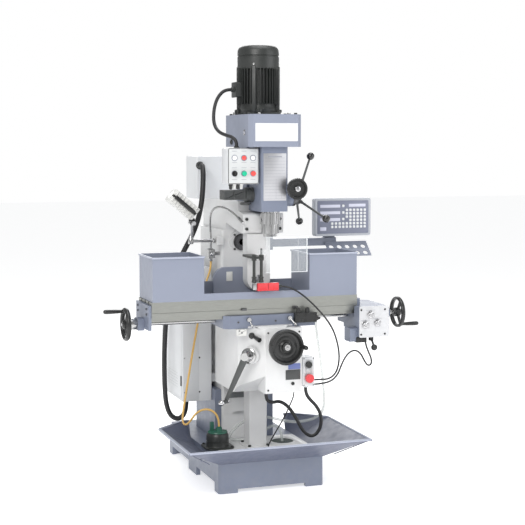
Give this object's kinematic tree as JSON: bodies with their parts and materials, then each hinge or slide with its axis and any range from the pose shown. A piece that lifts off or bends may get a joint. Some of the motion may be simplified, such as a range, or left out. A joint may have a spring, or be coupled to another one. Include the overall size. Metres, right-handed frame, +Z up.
{
  "type": "milling machine",
  "caption": "Knee-type vertical and horizontal milling machine with moving table, saddle, knee, quill and spindles, coolant tray, splash boxes, readout, lamp and guard.",
  "frame": {"origin": "centre of the base's footprint, on the floor", "axes": "+X along the table's travel to the operator's right, +Y from the operator towards the column, +Z up"},
  "size_m": [1.542, 1.086, 2.067],
  "materials": {
    "cream_casting": "satin paint over casting",
    "slate_paint": "satin blue-grey paint",
    "tray_paint": "satin dark blue-grey paint",
    "cabinet_paint": "satin paint",
    "steel": "ground",
    "chrome": "polished",
    "ground_iron": "ground and oiled",
    "black_metal": "semi-gloss black",
    "black_plastic": "satin",
    "white_plastic": "satin",
    "slate_plastic": "satin",
    "red_plastic": "gloss",
    "green_plastic": "gloss",
    "pump_green": "semi-gloss",
    "clear_plastic": "clear",
    "rubber": "matt",
    "black_sheath": "matt",
    "yellow_hose": "satin",
    "clear_hose": "clear"
  },
  "bodies": {
    "frame": {"base": "slate_paint", "coolant_tray": "tray_paint", "column": "cream_casting", "electrical_cabinets": "cabinet_paint", "overarm": "cream_casting", "pedestal": "cream_casting", "head_casting": "slate_paint", "gear_case": "slate_paint", "gear_case_lid": "slate_paint", "motor": "black_metal", "control_panel": "cabinet_paint", "readout_arm": "slate_paint", "guard_post": "black_metal", "coolant_tap": "steel", "coolant_pump": "pump_green", "frame_bolts": "steel", "motor_lead": "black_sheath", "head_conduit": "black_sheath", "coolant_hose": "yellow_hose", "guard_cable": "black_sheath", "drain_hose": "clear_hose"},
    "knee": {"knee": "cream_casting", "control_box": "white_plastic", "way_cover": "rubber", "control_conduit": "black_sheath", "knee_lead": "black_sheath"},
    "knee_screw": {"knee_screw": "steel"},
    "knee_crank": {"knee_crank": "steel"},
    "saddle": {"saddle": "slate_paint", "limit_switch": "black_metal"},
    "cross_handwheel": {"cross_handwheel": "black_plastic"},
    "table": {"table": "ground_iron", "table_brackets": "slate_paint", "feed_gearbox": "slate_paint", "splash_guard": "slate_paint", "feed_cable": "black_sheath"},
    "table_screw": {"table_screw": "black_metal"},
    "lock_lever_left": {"lock_lever_left": "black_metal"},
    "lock_lever_right": {"lock_lever_right": "black_metal"},
    "feed_knob_left": {"feed_knob_left": "chrome"},
    "feed_knob_right": {"feed_knob_right": "chrome"},
    "feed_knob_top": {"feed_knob_top": "chrome"},
    "feed_lever": {"feed_lever": "black_plastic"},
    "quill": {"quill": "chrome"},
    "spindle": {"spindle": "steel"},
    "feed_capstan": {"feed_capstan": "chrome"},
    "fine_feed_wheel": {"fine_feed_wheel": "black_plastic"},
    "spindle_gear": {"spindle_gear": "steel"},
    "countershaft": {"countershaft": "steel"},
    "motor_pinion": {"motor_pinion": "steel"},
    "horizontal_spindle": {"horizontal_spindle": "steel"},
    "start_button": {"start_button": "green_plastic"},
    "stop_button": {"stop_button": "red_plastic"},
    "panel_selector": {"panel_selector": "black_plastic"},
    "readout": {"readout": "slate_plastic"},
    "lamp_arm": {"lamp_arm": "chrome"},
    "lamp_head": {"lamp_head": "white_plastic"},
    "guard_shield": {"guard_shield": "clear_plastic"},
    "speed_knob": {"speed_knob": "black_plastic"},
    "estop_button": {"estop_button": "red_plastic"}
  },
  "joints": [
    {"name": "knee_lift", "type": "slide", "parent": "frame", "child": "knee", "axis": [0, 0, 1], "range_m": [-0.155, 0.012], "deforming": ["knee_lead", "guard_cable", "control_conduit", "drain_hose"]},
    {"name": "knee_screw_turn", "type": "hinge", "parent": "knee", "child": "knee_screw", "pos_m": [-0.008, -0.222, 0.5], "axis": [0, 0, 1], "continuous": true},
    {"name": "knee_crank_turn", "type": "hinge", "parent": "knee", "child": "knee_crank", "pos_m": [-0.1, -0.453, 0.642], "axis": [-0.7071, -0.7071, 0], "range_deg": [-60, 90]},
    {"name": "saddle_travel", "type": "slide", "parent": "knee", "child": "saddle", "axis": [0, 1, 0], "range_m": [-0.01, 0.1], "deforming": ["drain_hose", "feed_cable"]},
    {"name": "cross_handwheel_turn", "type": "hinge", "parent": "knee", "child": "cross_handwheel", "pos_m": [0.022, -0.56, 0.688], "axis": [0, -1, 0], "continuous": true},
    {"name": "table_travel", "type": "slide", "parent": "saddle", "child": "table", "axis": [1, 0, 0], "range_m": [-0.12, 0.19], "deforming": ["feed_cable", "drain_hose"]},
    {"name": "table_screw_turn", "type": "hinge", "parent": "table", "child": "table_screw", "pos_m": [0, -0.32, 0.79], "axis": [1, 0, 0], "continuous": true},
    {"name": "lock_lever_left_turn", "type": "hinge", "parent": "saddle", "child": "lock_lever_left", "pos_m": [-0.122, -0.46, 0.806], "axis": [0, 1, 0], "range_deg": [-30, 30]},
    {"name": "lock_lever_right_turn", "type": "hinge", "parent": "saddle", "child": "lock_lever_right", "pos_m": [0.076, -0.46, 0.806], "axis": [0, 1, 0], "range_deg": [-30, 30]},
    {"name": "feed_knob_left_turn", "type": "hinge", "parent": "table", "child": "feed_knob_left", "pos_m": [0.441, -0.5, 0.762], "axis": [0, 1, 0], "range_deg": [-120, 120]},
    {"name": "feed_knob_right_turn", "type": "hinge", "parent": "table", "child": "feed_knob_right", "pos_m": [0.503, -0.5, 0.769], "axis": [0, 1, 0], "range_deg": [-120, 120]},
    {"name": "feed_knob_top_turn", "type": "hinge", "parent": "table", "child": "feed_knob_top", "pos_m": [0.467, -0.5, 0.809], "axis": [0, 1, 0], "range_deg": [-120, 120]},
    {"name": "feed_lever_turn", "type": "hinge", "parent": "table", "child": "feed_lever", "pos_m": [0.484, -0.472, 0.7], "axis": [0, 0, 1], "range_deg": [-25, 25]},
    {"name": "quill_feed", "type": "slide", "parent": "frame", "child": "quill", "axis": [0, 0, -1], "range_m": [0, 0.12]},
    {"name": "feed_capstan_turn", "type": "hinge", "parent": "frame", "child": "feed_capstan", "pos_m": [0.15, -0.37, 1.35], "axis": [1, 0, 0], "range_deg": [0, 270.5]},
    {"name": "fine_feed_turn", "type": "hinge", "parent": "frame", "child": "fine_feed_wheel", "pos_m": [0.112, -0.46, 1.4], "axis": [0, -1, 0], "continuous": true},
    {"name": "spindle_turn", "type": "hinge", "parent": "quill", "child": "spindle", "pos_m": [0.015, -0.37, 1.3], "axis": [0, 0, 1], "continuous": true},
    {"name": "spindle_gear_turn", "type": "hinge", "parent": "frame", "child": "spindle_gear", "pos_m": [0.015, -0.37, 1.65], "axis": [0, 0, 1], "continuous": true},
    {"name": "countershaft_turn", "type": "hinge", "parent": "frame", "child": "countershaft", "pos_m": [0.015, -0.285, 1.65], "axis": [0, 0, 1], "continuous": true},
    {"name": "motor_turn", "type": "hinge", "parent": "frame", "child": "motor_pinion", "pos_m": [0.015, -0.2, 1.65], "axis": [0, 0, 1], "continuous": true},
    {"name": "horizontal_spindle_turn", "type": "hinge", "parent": "frame", "child": "horizontal_spindle", "pos_m": [-0.022, -0.05, 1.131], "axis": [0, 1, 0], "continuous": true},
    {"name": "start_button_press", "type": "slide", "parent": "frame", "child": "start_button", "axis": [0, 1, 0], "range_m": [0, 0.0025], "stiffness_N_per_m": 800},
    {"name": "stop_button_press", "type": "slide", "parent": "frame", "child": "stop_button", "axis": [0, 1, 0], "range_m": [0, 0.0025], "stiffness_N_per_m": 800},
    {"name": "panel_selector_turn", "type": "hinge", "parent": "frame", "child": "panel_selector", "pos_m": [-0.174, -0.42, 1.471], "axis": [0, 1, 0], "range_deg": [-45, 45]},
    {"name": "readout_tilt", "type": "hinge", "parent": "frame", "child": "readout", "pos_m": [0.476, 0.02, 1.19], "axis": [1, 0, 0], "range_deg": [-15, 15]},
    {"name": "lamp_arm_tilt", "type": "hinge", "parent": "frame", "child": "lamp_arm", "pos_m": [-0.15, -0.046, 1.14], "axis": [1, 0, 0], "range_deg": [-5, 35]},
    {"name": "lamp_head_tilt", "type": "hinge", "parent": "lamp_arm", "child": "lamp_head", "pos_m": [-0.276, -0.068, 1.228], "axis": [0, 1, 0], "range_deg": [-25, 25]},
    {"name": "guard_swing", "type": "hinge", "parent": "frame", "child": "guard_shield", "pos_m": [-0.06, -0.462, 1.11], "axis": [0, 0, 1], "range_deg": [-110, 0]},
    {"name": "speed_knob_turn", "type": "hinge", "parent": "knee", "child": "speed_knob", "pos_m": [0.156, -0.5, 0.59], "axis": [0, 1, 0], "range_deg": [-135, 135]},
    {"name": "estop_press", "type": "slide", "parent": "knee", "child": "estop_button", "axis": [0, 1, 0], "range_m": [0, 0.006]}
  ],
  "couplings": [
    {"joint": "knee_screw_turn", "follows": "knee_lift", "rad_per_m": 1256.6},
    {"joint": "cross_handwheel_turn", "follows": "saddle_travel", "rad_per_m": 1256.6},
    {"joint": "table_screw_turn", "follows": "table_travel", "rad_per_m": 1256.6},
    {"joint": "feed_capstan_turn", "follows": "quill_feed", "rad_per_m": 39.27},
    {"joint": "spindle_gear_turn", "follows": "spindle_turn", "ratio": 1},
    {"joint": "countershaft_turn", "follows": "spindle_turn", "ratio": -2.4},
    {"joint": "motor_turn", "follows": "spindle_turn", "ratio": 5.76}
  ]
}
